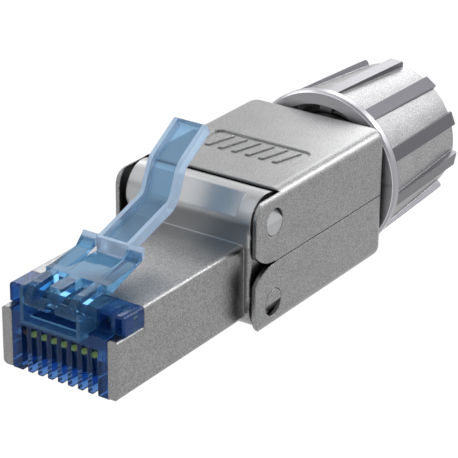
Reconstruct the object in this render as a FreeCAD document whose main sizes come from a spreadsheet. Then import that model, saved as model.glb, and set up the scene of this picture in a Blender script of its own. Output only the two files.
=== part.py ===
import FreeCAD, Part
import math
import os
import Sketcher

# A field termination ethernet plug, closed, with its latch up. The sizes are measured from the plug's
# own datum: X to the right, Y backwards from the front face of the nose, Z up from the nose's underside.
# Each finished piece is then placed in the plug's frame, whose origin is under the middle of its length.

Vector = FreeCAD.Vector
doc = FreeCAD.newDocument("field_plug")


# A size is a number together with the formula that gives it from the spreadsheet's cells.
class Size:
    def __init__(self, text, value):
        self.text = text
        self.value = value

    def __add__(self, other):
        other = as_size(other)
        return Size("(%s + %s)" % (self.text, other.text), self.value + other.value)

    def __sub__(self, other):
        other = as_size(other)
        return Size("(%s - %s)" % (self.text, other.text), self.value - other.value)

    def __mul__(self, other):
        other = as_size(other)
        return Size("(%s * %s)" % (self.text, other.text), self.value * other.value)

    def __truediv__(self, other):
        other = as_size(other)
        return Size("(%s / %s)" % (self.text, other.text), self.value / other.value)

    def __radd__(self, other):
        return as_size(other) + self

    def __rsub__(self, other):
        return as_size(other) - self

    def __rmul__(self, other):
        return as_size(other) * self

    def __neg__(self):
        return as_size(0) - self


def as_size(number):
    return number if isinstance(number, Size) else Size("%.6f" % number, float(number))


def sine(degrees):
    return Size("sin(%s * 1 deg)" % degrees.text, math.sin(math.radians(degrees.value)))


def cosine(degrees):
    return Size("cos(%s * 1 deg)" % degrees.text, math.cos(math.radians(degrees.value)))


def root(size):
    return Size("sqrt(%s)" % size.text, math.sqrt(size.value))


# The driving sizes: millimetres, degrees and two counts. Along the plug each piece starts from the piece in
# front of it, and across and upwards from the wall that it sits in or on.
SHEET = {
    # nose of the shell, which enters the jack
    "nose_width": 11.68,
    "nose_height": 7.0,
    "nose_length": 17.3,
    "nose_wall": 0.98,
    "nose_roof": 0.8,
    "nose_round": 0.4,
    "sill_drop": 1.77,
    "sill_length": 3.58,
    "sill_round": 0.3,
    "window_room": 0.9,
    # hinge block behind it, with a round knuckle and two bosses for each cover
    "axis_drop": 2.05,
    "pivot_setback": 2.75,
    "pivot_rise": 3.73,
    "knuckle_radius": 2.45,
    "block_step": 0.61,
    "block_reach": 3.55,
    "block_round": 0.35,
    "boss_radius": 1.2,
    "boss_ramp": 0.6,
    "ramp_reach": 1.3,
    "scoop_width": 9.8,
    "scoop_start": 107.0,
    "scoop_end": 163.0,
    "scoop_reach": 1.5,
    # the two hinged covers
    "cover_rise": 6.22,
    "plate_setback": 1.19,
    "cover_plate": 1.2,
    "cover_wall": 1.1,
    "cover_end": 1.4,
    "cover_round": 1.05,
    "corner_round": 1.3,
    "parting_gap": 0.06,
    "parting_start": 0.35,
    "ear_wall": 0.4,
    "ear_gap": 0.48,
    "ear_corner": 1.9,
    "ear_swing": 3.6,
    "pivot_clearance": 0.06,
    "swing_clearance": 0.12,
    "label_width": 10.1,
    "label_length": 4.1,
    "label_setback": 6.41,
    "label_depth": 0.14,
    "label_round": 0.8,
    # insert that carries the contacts
    "insert_clearance": 0.05,
    "insert_length": 6.9,
    "insert_drop": 0.19,
    "insert_round": 0.25,
    "fin_round": 0.16,
    "shoulder_front": 1.05,
    "channel_width": 6.1,
    "channel_depth": 1.15,
    "pocket_depth": 1.3,
    "pocket_floor": 0.09,
    "pocket_roof": 0.3,
    "pocket_skin": 0.35,
    "wedge_width": 0.4,
    "wedge_place": 0.85,
    "ledge_slot_width": 0.36,
    "ledge_slot_length": 0.14,
    "ledge_slot_depth": 0.3,
    "ledge_slot_back": 0.37,
    "ledge_slot_pitch": 0.68,
    "contact_pitch": 1.02,
    "slot_width": 0.56,
    "slot_roof": 1.23,
    "contact_width": 0.42,
    "contact_metal": 0.25,
    "contact_front": 0.8,
    "contact_drop": 1.05,
    "contact_low": 0.35,
    "contact_shank": 0.4,
    "contact_slant": 0.5,
    "contact_bend": 0.35,
    "solder_gap": 0.15,
    "solder_length": 1.35,
    # latch moulding: the fixed shroud
    "frame_reach": 1.1,
    "frame_lip": 0.3,
    "frame_cheek": 0.34,
    "cheek_flat": 0.55,
    "cheek_rise": 0.28,
    "cheek_fall": 0.95,
    "guard_drop": 0.3,
    "guard_back": 2.25,
    "guard_round": 0.35,
    "bar_drop": 0.05,
    "bar_front": 1.15,
    "bar_length": 2.3,
    "socket_skin": 0.1,
    # latch moulding: the moving lever
    "latch_back": 0.55,
    "latch_drop": 0.15,
    "foot_radius": 0.5,
    "pin_radius": 0.35,
    "pin_clearance": 0.05,
    "arm_width": 0.8,
    "arm_clearance": 0.06,
    "arm_drop": 0.2,
    "arm_bend": 1.25,
    "plate_overlap": 0.2,
    "foot_gap": 0.9,
    "foot_room": 0.4,
    "plate_width": 6.2,
    "plate_front": 2.4,
    "plate_lift": 1.5,
    "plate_thick": 0.85,
    "plate_flat": 0.8,
    "ramp_length": 3.1,
    "ramp_rise": 0.4,
    "horn_length": 1.05,
    "horn_rise": 1.05,
    "horn_sill": 0.1,
    "heel_drop": 0.38,
    "heel_thick": 0.2,
    "tongue_width": 1.1,
    "tongue_front": 0.28,
    "tongue_nose": 1.0,
    "tongue_lift": 0.25,
    "tongue_tip": 0.5,
    "lever_width": 3.3,
    "lever_thick": 0.95,
    "lever_rim": 0.42,
    "lever_recess": 0.45,
    "tray_room": 0.3,
    "lever_root": 0.7,
    "lever_lift": 0.4,
    "lever_slope": 17.0,
    "lever_run": 5.8,
    "lever_bend": 1.4,
    "lever_steep": 67.0,
    "lever_rise": 2.03,
    "lever_turn": 1.5,
    "lever_top_slope": 32.0,
    "lever_tip_run": 3.76,
    # circuit board with the insulation displacement contacts
    "board_side": 0.26,
    "board_thick": 1.0,
    "board_gap": 0.1,
    "board_margin": 0.4,
    "seat_gap": 0.03,
    "idc_setback": 0.8,
    "idc_length": 6.8,
    "idc_overhang": 0.1,
    "idc_height": 2.1,
    "blade_pitch": 2.4,
    "blade_width": 1.5,
    "blade_metal": 0.4,
    "blade_height": 3.1,
    "blade_setback": 2.0,
    "blade_stagger": 2.8,
    "fork_width": 0.35,
    "fork_depth": 1.6,
    "cap_overhang": 0.2,
    "cap_height": 2.1,
    "channel_room": 0.1,
    "wire_height": 1.1,
    "wire_width": 1.15,
    "separator_gap": 0.4,
    "separator_length": 3.6,
    "separator_web": 1.0,
    "separator_reach": 4.3,
    # neck, clamp ring and cap nut
    "rail_gap": 0.3,
    "rail_room": 0.18,
    "rail_height": 1.8,
    "rail_socket": 0.95,
    "neck_plate_gap": 0.3,
    "neck_plate_thick": 1.0,
    "neck_plate_side": 0.28,
    "neck_plate_room": 0.22,
    "neck_end_gap": 0.38,
    "neck_radius": 5.3,
    "neck_engagement": 6.4,
    "neck_clearance": 0.15,
    "cable_radius": 4.3,
    "cable_clearance": 0.1,
    "nut_gap": 0.52,
    "nut_length": 13.5,
    "nut_radius": 7.9,
    "nut_chamfer": 0.2,
    "nut_shoulder": 7.5,
    "nut_waist": 6.67,
    "collar_length": 0.9,
    "collar_step": 0.3,
    "nut_relief": 6.6,
    "nut_relief_depth": 1.6,
    "thread_clearance": 0.1,
    "nut_wall": 1.6,
    "chamber_radius": 5.8,
    "chamber_cone": 1.2,
    "rib_count": 11,
    "rib_width": 1.27,
    "rib_front_radius": 7.8,
    "rib_back_radius": 7.3,
    "rib_stop": 0.35,
    "rib_turn": 2.0,
    "ring_gap": 0.05,
    "ring_radius": 5.2,
    "ring_wall": 0.95,
    "ring_length": 4.6,
    "ring_taper": 0.5,
    "ring_slots": 6,
    "ring_slot": 0.6,
    "ring_base": 1.2,
    # how far a cut runs past the faces that it cuts through
    "past": 1.0,
}


class Sheet:
    def __init__(self, cells):
        self.cells = doc.addObject("Spreadsheet::Sheet", "Sizes")
        for row, (alias, number) in enumerate(cells.items(), start=1):
            self.cells.set("A%d" % row, alias)
            self.cells.set("B%d" % row, str(number))
            self.cells.setAlias("B%d" % row, alias)
            setattr(self, alias, Size("Sizes.%s" % alias, float(number)))


s = Sheet(SHEET)
doc.recompute()

# Across the plug, as half widths.
NOSE_HALF = s.nose_width / 2
CAVITY_HALF = NOSE_HALF - s.nose_wall
BLOCK_HALF = NOSE_HALF + s.block_step
COVER_HALF = BLOCK_HALF + s.ear_gap + s.ear_wall
BOARD_HALF = CAVITY_HALF - s.board_side
IDC_HALF = BOARD_HALF + s.idc_overhang
CAP_HALF = IDC_HALF + s.cap_overhang
RAIL_INSIDE = CAP_HALF + s.rail_gap
RAIL_OUTSIDE = COVER_HALF - s.cover_wall - s.rail_room
FRAME_HALF = s.channel_width / 2 - s.insert_clearance
ARM_HALF = FRAME_HALF - s.frame_cheek - s.arm_clearance

# Along the plug, from the front to the back.
PIVOT_BACK = s.nose_length + s.pivot_setback
COVER_FRONT = PIVOT_BACK + s.plate_setback
BLOCK_BACK = PIVOT_BACK + s.block_reach
IDC_FRONT = BLOCK_BACK + s.idc_setback
IDC_BACK = IDC_FRONT + s.idc_length
BOARD_BACK = IDC_BACK + s.board_margin
SEPARATOR_FRONT = BOARD_BACK + s.separator_gap
SEPARATOR_BACK = SEPARATOR_FRONT + s.separator_length
NECK_PLATE_FRONT = SEPARATOR_BACK + s.neck_plate_gap
NECK_PLATE_BACK = NECK_PLATE_FRONT + s.neck_plate_thick
COVER_BACK = NECK_PLATE_BACK + s.neck_end_gap + s.cover_end
NUT_FRONT = COVER_BACK + s.nut_gap
NUT_BACK = NUT_FRONT + s.nut_length
NECK_END = NUT_FRONT + s.neck_engagement
SOLDER_START = s.insert_length + s.solder_gap
LATCH_Y = -s.latch_back
RAMP_BACK = s.plate_front + s.plate_flat + s.ramp_length
HORN_BACK = RAMP_BACK + s.horn_length

# Upwards. The axis is that of the cable and of the cap nut.
AXIS = s.nose_height - s.axis_drop
SILL = s.nose_height - s.sill_drop
SLOT_TOP = SILL - s.slot_roof
CHANNEL_FLOOR = s.nose_height - s.channel_depth
LATCH_Z = s.nose_height - s.latch_drop
PLATE_TOP = s.nose_height + s.plate_lift
HORN_FOOT = PLATE_TOP + s.ramp_rise

# From the plug's own datum to the frame that it is handed over in.
LENGTHWISE = -(NUT_BACK - s.frame_reach) / 2
UPWARDS = s.nut_radius - AXIS


def bind(item, name, size):
    item.setExpression(name, size.text)


def new_body(label, across=0.0, on_axis=False):
    made = doc.addObject("PartDesign::Body", label)
    made.Label = label
    height = s.nut_radius if on_axis else UPWARDS
    bind(made, "Placement.Base.x", as_size(across))
    bind(made, "Placement.Base.y", LENGTHWISE)
    bind(made, "Placement.Base.z", height)
    return made


# Sketches lie on three planes: side is seen along X (Y, Z), front along Y (X, Z) and top along Z (X, Y).
PLANES = {"side": "YZ_Plane", "front": "XZ_Plane", "top": "XY_Plane"}


def new_sketch(body, name, plane, distance=None):
    made = body.newObject("Sketcher::SketchObject", name)
    support = [feature for feature in body.Origin.OriginFeatures if feature.Role == PLANES[plane]][0]
    made.AttachmentSupport = [(support, "")]
    made.MapMode = "FlatFace"
    if distance is not None:
        away = -distance if plane == "front" else distance
        bind(made, "AttachmentOffset.Base.z", away)
    return made


def constrain(sketch, kind, places, size):
    number = sketch.addConstraint(Sketcher.Constraint(kind, *places, size.value))
    bind(sketch, "Constraints[%d]" % number, size)


def arc_between(start, end, radius):
    middle = (start + end) * 0.5
    chord = end - start
    reach = math.sqrt(max(radius * radius - chord.Length ** 2 / 4.0, 0.0))
    left = Vector(-chord.y, chord.x, 0).normalize()
    centre = middle + left * (reach if radius > 0 else -reach)
    first = math.atan2(start.y - centre.y, start.x - centre.x)
    last = math.atan2(end.y - centre.y, end.x - centre.x)
    if radius < 0:
        first, last = last, first
    return Part.ArcOfCircle(Part.Circle(centre, Vector(0, 0, 1), abs(radius)), first, last)


# Each corner is (x, y), or (x, y, radius) where an arc leads on to the next corner. The arc's centre lies
# to the left of the way round where the radius is positive, and to the right where it is negative.
def draw(sketch, corners):
    corners = [tuple(as_size(value) for value in corner) for corner in corners]
    spots = [Vector(corner[0].value, corner[1].value, 0) for corner in corners]
    ends = []
    for index, corner in enumerate(corners):
        start = spots[index]
        end = spots[(index + 1) % len(spots)]
        if len(corner) == 3:
            edge = sketch.addGeometry(arc_between(start, end, corner[2].value), False)
            ends.append((edge, 1, 2) if corner[2].value > 0 else (edge, 2, 1))
            radius = corner[2] if corner[2].value > 0 else -corner[2]
            constrain(sketch, "Radius", (edge,), radius)
        else:
            edge = sketch.addGeometry(Part.LineSegment(start, end), False)
            ends.append((edge, 1, 2))
    for index, (edge, first, last) in enumerate(ends):
        following = ends[(index + 1) % len(ends)]
        sketch.addConstraint(Sketcher.Constraint("Coincident", edge, last, following[0], following[1]))
        constrain(sketch, "DistanceX", (edge, first), corners[index][0])
        constrain(sketch, "DistanceY", (edge, first), corners[index][1])
    return sketch


def draw_box(sketch, left, bottom, right, top):
    return draw(sketch, [(left, bottom), (right, bottom), (right, top), (left, top)])


def draw_circle(sketch, across, up, radius):
    across, up, radius = as_size(across), as_size(up), as_size(radius)
    circle = Part.Circle(Vector(across.value, up.value, 0), Vector(0, 0, 1), radius.value)
    edge = sketch.addGeometry(circle, False)
    constrain(sketch, "DistanceX", (edge, 3), across)
    constrain(sketch, "DistanceY", (edge, 3), up)
    constrain(sketch, "Radius", (edge,), radius)
    return sketch


def extrude(body, kind, sketch, length, way):
    made = body.newObject("PartDesign::" + kind, sketch.Name + kind)
    made.Profile = sketch
    if way == "both":
        made.SideType = "Symmetric"
    made.Reversed = way == "reversed"
    if length is None:
        made.Type = "ThroughAll"
    else:
        made.Length = length.value
        bind(made, "Length", length)
    sketch.Visibility = False
    return made


# On the front plane a pad runs forwards and a pocket backwards, unless it is reversed.
def pad(body, sketch, length, way="both"):
    return extrude(body, "Pad", sketch, length, way)


def pocket(body, sketch, length=None, way="both"):
    return extrude(body, "Pocket", sketch, length, way)


def revolve(body, sketch):
    made = body.newObject("PartDesign::Revolution", sketch.Name + "Revolution")
    made.Profile = sketch
    made.ReferenceAxis = (sketch, ["H_Axis"])
    made.Angle = 360
    return made


def repeat_round(body, feature, count):
    made = body.newObject("PartDesign::PolarPattern", feature.Name + "Pattern")
    made.Originals = [feature]
    axis = [item for item in body.Origin.OriginFeatures if item.Role == "Y_Axis"][0]
    made.Axis = (axis, [""])
    made.Angle = 360
    made.Occurrences = int(count.value)
    bind(made, "Occurrences", count)
    body.Tip = made
    return made


def fillet(body, name, radius, chosen):
    doc.recompute()
    base = body.Tip
    names = ["Edge%d" % number for number, edge in enumerate(base.Shape.Edges, start=1) if chosen(edge)]
    if not names:
        raise ValueError("no edge for " + name)
    made = body.newObject("PartDesign::Fillet", name)
    made.Base = (base, names)
    made.Radius = radius.value
    bind(made, "Radius", radius)
    return made


def runs_along(edge, direction):
    ends = [vertex.Point for vertex in edge.Vertexes]
    if len(ends) != 2 or not isinstance(edge.Curve, Part.Line):
        return False
    return abs((ends[1] - ends[0]).normalize().dot(direction)) > 0.999


def near(value, size):
    return abs(value - as_size(size).value) < 0.02


ALONG_X = Vector(1, 0, 0)
ALONG_Y = Vector(0, 1, 0)
ALONG_Z = Vector(0, 0, 1)


# The shell is one zinc die casting: the nose, open below and at its front, and the hinge block with a
# round knuckle above and below and two bosses at each, ramped so that the covers' ears snap over them.
def make_plug_shell():
    body = new_body("plug_shell")
    section = draw_box(new_sketch(body, "NoseSection", "front"), -NOSE_HALF, 0, NOSE_HALF, s.nose_height)
    pad(body, section, PIVOT_BACK, "reversed")
    fillet(body, "NoseLongEdges", s.nose_round, lambda edge: runs_along(edge, ALONG_Y))

    front = PIVOT_BACK - s.knuckle_radius
    block = new_sketch(body, "Block", "side")
    draw_box(block, front, AXIS - s.pivot_rise, BLOCK_BACK, AXIS + s.pivot_rise)
    pad(body, block, 2 * BLOCK_HALF)
    fillet(body, "BlockCorners", s.block_round,
           lambda edge: runs_along(edge, ALONG_Z) and near(edge.CenterOfMass.y, front)
           and near(abs(edge.CenterOfMass.x), BLOCK_HALF))
    for name, height in (("Upper", AXIS + s.pivot_rise), ("Lower", AXIS - s.pivot_rise)):
        knuckle = new_sketch(body, name + "Knuckle", "side")
        pad(body, draw_circle(knuckle, PIVOT_BACK, height, s.knuckle_radius), 2 * BLOCK_HALF)

    for name, way in (("Upper", 1), ("Lower", -1)):
        middle = AXIS + way * s.pivot_rise
        boss = new_sketch(body, name + "Bosses", "side")
        pad(body, draw_circle(boss, PIVOT_BACK, middle, s.boss_radius), 2 * COVER_HALF)
        top = middle + way * s.ramp_reach * s.boss_radius
        for hand, side in (("Left", -1), ("Right", 1)):
            ramp = new_sketch(body, name + hand + "Ramp", "front")
            outside = side * COVER_HALF
            inside = outside - side * s.ramp_reach * s.boss_ramp
            draw(ramp, [(outside, middle), (outside, top), (inside, top)])
            pocket(body, ramp, None, "forward")

    scoop = new_sketch(body, "ThumbFacet", "side")
    height = AXIS + s.pivot_rise
    outer = s.knuckle_radius + s.scoop_reach
    draw(scoop, [(PIVOT_BACK + radius * cosine(angle), height + radius * sine(angle))
                 for angle, radius in ((s.scoop_start, s.knuckle_radius), (s.scoop_start, outer),
                                       (s.scoop_end, outer), (s.scoop_end, s.knuckle_radius))])
    pocket(body, scoop, s.scoop_width)

    cavity = new_sketch(body, "Cavity", "front")
    draw_box(cavity, -CAVITY_HALF, s.nose_roof, CAVITY_HALF, s.nose_height - s.nose_roof)
    pocket(body, cavity, None, "forward")
    window = new_sketch(body, "Window", "side")
    draw_box(window, -s.past, -s.past, SOLDER_START + s.contact_metal + s.window_room, 2 * s.nose_roof)
    pocket(body, window, 2 * CAVITY_HALF)
    notch = new_sketch(body, "Notch", "side")
    draw_box(notch, -s.past, SILL, s.sill_length, s.nose_height + s.past)
    pocket(body, notch, s.nose_width + 2 * s.past)

    for hand, side in (("Left", -1), ("Right", 1)):
        socket = new_sketch(body, hand + "RailSocket", "front", BLOCK_BACK)
        inside = side * (RAIL_INSIDE - s.seat_gap)
        outside = side * (RAIL_OUTSIDE + s.seat_gap)
        reach = s.rail_height / 2 + s.seat_gap
        draw_box(socket, inside, AXIS - reach, outside, AXIS + reach)
        pocket(body, socket, s.rail_socket + s.seat_gap, "reversed")
    fillet(body, "SillEdges", s.sill_round,
           lambda edge: runs_along(edge, ALONG_Y) and near(edge.CenterOfMass.z, SILL))
    return body


# Each cover is a zinc die casting: a tray that closes over the wires, with two ears that hinge on the
# bosses. Its plate is relieved round the knuckle and its back wall has a half-round hole for the neck.
def make_cover(label, way):
    body = new_body(label)
    start = s.parting_gap / 2
    front = s.nose_length
    swing = s.pivot_rise - root(s.ear_swing * s.ear_swing - s.pivot_setback * s.pivot_setback)

    def height(rise):
        return AXIS + way * rise

    tray = new_sketch(body, label + "Tray", "side")
    draw_box(tray, front, height(start), COVER_BACK, height(s.cover_rise))
    pad(body, tray, 2 * COVER_HALF)
    fillet(body, label + "UprightEdges", s.corner_round,
           lambda edge: runs_along(edge, ALONG_Z) and near(edge.CenterOfMass.y, COVER_BACK))
    fillet(body, label + "LongEdges", s.cover_round,
           lambda edge: runs_along(edge, ALONG_Y) and near(edge.CenterOfMass.z, height(s.cover_rise)))

    corner = new_sketch(body, label + "EarCorner", "side")
    draw(corner, [(front + s.ear_corner, height(s.cover_rise), way * s.ear_corner),
                  (front, height(s.cover_rise - s.ear_corner)),
                  (front - s.past, height(s.cover_rise - s.ear_corner)),
                  (front - s.past, height(s.cover_rise + s.past)),
                  (front + s.ear_corner, height(s.cover_rise + s.past))])
    pocket(body, corner)
    under = new_sketch(body, label + "EarUnderside", "side")
    draw(under, [(PIVOT_BACK + s.parting_start, height(start)),
                 (PIVOT_BACK, height(s.pivot_rise - s.ear_swing), -way * s.ear_swing),
                 (front, height(swing)), (front - s.past, height(swing)),
                 (front - s.past, height(start - s.past)),
                 (PIVOT_BACK + s.parting_start, height(start - s.past))])
    pocket(body, under)

    gap = new_sketch(body, label + "EarGap", "side")
    draw(gap, [(front - s.past, height(-s.past)), (BLOCK_BACK + s.ear_wall, height(-s.past)),
               (BLOCK_BACK + s.ear_wall, height(s.cover_rise - s.cover_plate)),
               (COVER_FRONT, height(s.cover_rise - s.cover_plate)),
               (COVER_FRONT, height(s.cover_rise + s.past)),
               (front - s.past, height(s.cover_rise + s.past))])
    pocket(body, gap, 2 * (BLOCK_HALF + s.ear_gap))
    relief = new_sketch(body, label + "KnuckleRelief", "side")
    draw_circle(relief, PIVOT_BACK, height(s.pivot_rise), s.knuckle_radius + s.swing_clearance)
    pocket(body, relief, 2 * (BLOCK_HALF + s.ear_gap))
    hollow = new_sketch(body, label + "Hollow", "side")
    draw_box(hollow, BLOCK_BACK, height(-s.past), COVER_BACK - s.cover_end,
             height(s.cover_rise - s.cover_plate))
    pocket(body, hollow, 2 * (COVER_HALF - s.cover_wall))
    holes = new_sketch(body, label + "PivotHoles", "side")
    draw_circle(holes, PIVOT_BACK, height(s.pivot_rise), s.boss_radius + s.pivot_clearance)
    pocket(body, holes)
    mouth = new_sketch(body, label + "NeckHole", "front", COVER_BACK - 2 * s.cover_end)
    draw_circle(mouth, 0, AXIS, s.neck_radius + s.neck_clearance)
    pocket(body, mouth, None, "forward")
    return body


def make_upper_cover():
    body = make_cover("upper_cover", 1)
    label = new_sketch(body, "LabelRecess", "top", AXIS + s.cover_rise)
    middle = COVER_FRONT + s.label_setback
    right = s.label_width / 2
    back = middle + s.label_length / 2
    front = middle - s.label_length / 2
    corner = s.label_round
    draw(label, [(-right + corner, front), (right - corner, front, corner),
                 (right, front + corner), (right, back - corner, corner),
                 (right - corner, back), (-right + corner, back, corner),
                 (-right, back - corner), (-right, front + corner, corner)])
    pocket(body, label, s.label_depth, "forward")
    return body


# The insert is one clear blue moulding. Its comb of thin walls parts the eight contacts, a ledge in front
# carries the latch moulding, and its two hollow shoulders fill the cut-away roof of the nose.
def make_contact_carrier():
    body = new_body("contact_carrier")
    top = s.nose_height - s.nose_roof - s.insert_clearance
    ledge = SILL - s.seat_gap
    seat = SILL + s.seat_gap
    side = new_sketch(body, "InsertSide", "side")
    draw(side, [(0, s.insert_round - s.insert_drop), (0, ledge), (s.shoulder_front, ledge),
                (s.shoulder_front, top), (s.insert_length, top), (s.insert_length, -s.insert_drop),
                (s.insert_round, -s.insert_drop, -s.insert_round)])
    pad(body, side, 2 * (CAVITY_HALF - s.insert_clearance))
    shoulders = new_sketch(body, "Shoulders", "side")
    draw_box(shoulders, s.shoulder_front, seat, s.sill_length - s.insert_clearance, s.nose_height)
    pad(body, shoulders, s.nose_width - s.seat_gap)
    fillet(body, "ShoulderEdges", s.nose_round,
           lambda edge: runs_along(edge, ALONG_Y) and near(edge.CenterOfMass.z, s.nose_height))
    channel = new_sketch(body, "LatchChannel", "side")
    draw_box(channel, s.shoulder_front - s.past, CHANNEL_FLOOR,
             s.sill_length + s.past, s.nose_height + s.past)
    pocket(body, channel, s.channel_width)

    hollows = new_sketch(body, "ShoulderHollows", "front", s.shoulder_front)
    slots = new_sketch(body, "LedgeSlots", "top", ledge)
    wedge = NOSE_HALF - s.pocket_skin - s.wedge_place
    inner = s.channel_width / 2 + s.pocket_skin / 2
    for side in (-1, 1):
        for low, high in ((inner, wedge - s.wedge_width / 2),
                          (wedge + s.wedge_width / 2, NOSE_HALF - s.pocket_skin)):
            draw_box(hollows, side * low, seat + s.pocket_floor, side * high, s.nose_height - s.pocket_roof)
        for place in (0, 1):
            across = side * (FRAME_HALF + s.ledge_slot_width + place * s.ledge_slot_pitch)
            draw_box(slots, across - s.ledge_slot_width / 2, s.ledge_slot_back,
                     across + s.ledge_slot_width / 2, s.ledge_slot_back + s.ledge_slot_length)
    pocket(body, hollows, s.pocket_depth, "forward")
    pocket(body, slots, s.ledge_slot_depth, "forward")

    comb = new_sketch(body, "ContactSlots", "front", -s.past)
    for place in range(8):
        middle = (place - 3.5) * s.contact_pitch
        left = middle - s.slot_width / 2
        right = middle + s.slot_width / 2
        draw(comb, [(left - s.fin_round, -s.past), (right + s.fin_round, -s.past),
                    (right + s.fin_round, -s.insert_drop, -s.fin_round),
                    (right, s.fin_round - s.insert_drop), (right, SLOT_TOP), (left, SLOT_TOP),
                    (left, s.fin_round - s.insert_drop, -s.fin_round),
                    (left - s.fin_round, -s.insert_drop)])
    pocket(body, comb, None, "forward")
    return body


# A contact is a gold-plated strip folded into a hook, with its tail soldered under the board.
def make_contact(number):
    body = new_body("contact_%d" % number, (number - 4.5) * s.contact_pitch)
    board = AXIS - s.board_thick / 2
    metal = s.contact_metal
    high = SLOT_TOP - s.contact_drop
    knee = s.contact_front + s.contact_shank
    foot = knee + s.contact_slant
    end = SOLDER_START + s.solder_length
    strip = new_sketch(body, "Strip%d" % number, "side")
    fall = high - metal - s.contact_low
    across = metal * root(fall * fall + s.contact_slant * s.contact_slant) / fall
    shift = across - s.contact_slant * metal / fall
    draw(strip, [(s.contact_front, high - metal), (knee, high - metal),
                 (foot, s.contact_low), (SOLDER_START + metal, s.contact_low),
                 (SOLDER_START + metal, board - metal), (end, board - metal),
                 (end, board), (SOLDER_START, board),
                 (SOLDER_START, s.contact_low + metal), (foot + shift, s.contact_low + metal),
                 (knee + shift, high), (s.contact_front, high)])
    pad(body, strip, s.contact_width)
    fillet(body, "Bend%d" % number, s.contact_bend,
           lambda edge: runs_along(edge, ALONG_X) and near(edge.CenterOfMass.z, s.contact_low)
           and near(edge.CenterOfMass.y, foot))
    return body


# The shroud of the latch moulding sits on the insert's ledge. A cheek at each side holds a hinge pin, the
# lip joins them in front, and a bar behind lies in the insert's channel. The left cheek has a tall guard.
def make_latch_frame():
    body = new_body("latch_frame")
    lip_top = SILL - s.seat_gap
    floor = SILL + s.seat_gap
    bar_floor = CHANNEL_FLOOR + s.seat_gap
    bar_top = s.nose_height - s.bar_drop
    bar_back = s.bar_front + s.bar_length
    shoulder = s.shoulder_front - s.seat_gap
    cheek_top = LATCH_Z + s.cheek_rise
    cheeks = new_sketch(body, "Cheeks", "side")
    draw(cheeks, [(-s.frame_reach, lip_top - s.frame_lip), (-s.seat_gap, lip_top - s.frame_lip),
                  (-s.seat_gap, floor), (shoulder, floor), (shoulder, bar_floor),
                  (bar_back, bar_floor), (bar_back, bar_top), (s.bar_front, bar_top),
                  (s.bar_front, cheek_top - s.cheek_fall), (s.cheek_flat - s.frame_reach, cheek_top),
                  (-s.frame_reach, cheek_top)])
    pad(body, cheeks, 2 * FRAME_HALF)
    inside = new_sketch(body, "ShroudInside", "side")
    draw_box(inside, -s.frame_reach - s.past, lip_top, s.bar_front, cheek_top + s.past)
    pocket(body, inside, 2 * (FRAME_HALF - s.frame_cheek))
    guard = new_sketch(body, "LeftGuard", "side", -FRAME_HALF)
    top = PLATE_TOP - s.guard_drop
    draw(guard, [(-s.frame_reach, floor), (shoulder, floor), (shoulder, bar_floor),
                 (s.guard_back, bar_floor), (s.guard_back, top),
                 (s.guard_round - s.frame_reach, top, s.guard_round),
                 (-s.frame_reach, top - s.guard_round)])
    pad(body, guard, s.frame_cheek, "forward")
    sockets = new_sketch(body, "PinSockets", "side")
    draw_circle(sockets, LATCH_Y, LATCH_Z, s.pin_radius + s.pin_clearance)
    pocket(body, sockets, 2 * (FRAME_HALF - s.socket_skin))
    return body


# The middle line of the thumb lever: straight, bent up, straight, bent back, straight. At a distance from
# it, positive above, this gives the corners of one side of the strip, each with the bend that follows.
def lever_line(distance, shorten=0.0):
    low, steep, high = s.lever_slope, s.lever_steep, s.lever_top_slope
    corners = []
    y = HORN_BACK - distance * sine(low) + shorten * cosine(low)
    z = HORN_FOOT + s.lever_lift + distance * cosine(low) + shorten * sine(low)
    corners.append((y, z))
    y = y + (s.lever_run - shorten) * cosine(low)
    z = z + (s.lever_run - shorten) * sine(low)
    bend = s.lever_bend - distance
    corners.append((y, z, bend))
    y = y + bend * (sine(steep) - sine(low))
    z = z + bend * (cosine(low) - cosine(steep))
    corners.append((y, z))
    y = y + s.lever_rise * cosine(steep)
    z = z + s.lever_rise * sine(steep)
    turn = s.lever_turn + distance
    corners.append((y, z, -turn))
    y = y + turn * (sine(steep) - sine(high))
    z = z + turn * (cosine(high) - cosine(steep))
    corners.append((y, z))
    y = y + (s.lever_tip_run - shorten) * cosine(high)
    z = z + (s.lever_tip_run - shorten) * sine(high)
    corners.append((y, z))
    return corners


# The same corners in reverse order, with each bend moved to the corner that now leads into it.
def backwards(corners):
    turned = []
    for index in range(len(corners) - 1, -1, -1):
        spot = corners[index][:2]
        before = corners[index - 1] if index else ()
        turned.append(spot + ((-before[2],) if len(before) == 3 else ()))
    return turned


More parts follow.
